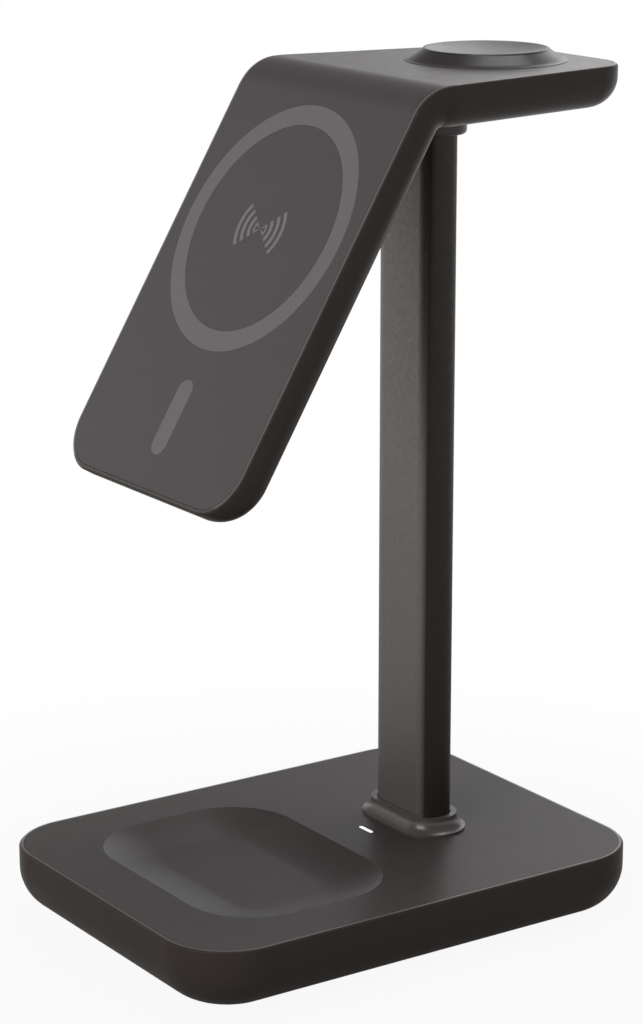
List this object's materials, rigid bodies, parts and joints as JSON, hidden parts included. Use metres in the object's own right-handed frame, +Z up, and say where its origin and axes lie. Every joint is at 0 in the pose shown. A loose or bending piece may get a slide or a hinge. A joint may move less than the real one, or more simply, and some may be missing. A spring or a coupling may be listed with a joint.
{
  "type": "wireless charging stand",
  "caption": "Three-in-one wireless charging stand: sloping phone face with ring marking, watch puck on a level top, flat stem and rounded base with a dished earbud tray.",
  "frame": {"origin": "on the table under the middle of the base, on the grip pad's underside", "axes": "+Z up; +X along the fold of the head, to the right of someone facing the phone; the phone face looks towards -Y and upwards; the power inlet is at the +Y end"},
  "size_m": [0.0874, 0.1223, 0.1872],
  "materials": {
    "shell": "fine satin, warm near-black",
    "cover": "soft-touch matte, warm grey",
    "stem": "sandblasted and anodised grey",
    "marking": "matte, light grey",
    "pad": "matte",
    "steel": "plain, zinc plated",
    "copper": "enamelled copper winding",
    "ferrite": "dark ferrite sheet",
    "board": "circuit board with solder mask",
    "light": "translucent white"
  },
  "bodies": {
    "root": {"base_tub": "shell", "base_cover": "cover", "grip_pad": "pad", "ballast_plate": "steel", "base_screws": "steel", "base_board": "board", "usb_socket": "steel", "usb_tongue": "pad", "earbud_coil": "copper", "earbud_ferrite": "ferrite", "light_pipe": "light", "light_board": "board", "stem_collar": "shell", "stem_tube": "stem", "stem_anchor": "steel", "stem_screws": "steel", "head_socket": "shell", "head_anchor": "steel", "anchor_screws": "steel", "head_shell": "shell", "head_cover": "cover", "ring_inlay": "marking", "bar_inlay": "marking", "phone_coil": "copper", "phone_ferrite": "ferrite", "magnet_ring": "steel", "shield_ring": "steel", "bar_magnet": "steel", "head_board": "board", "puck_body": "cover", "puck_coil": "copper", "puck_ferrite": "ferrite", "puck_magnet": "steel"}
  },
  "joints": []
}
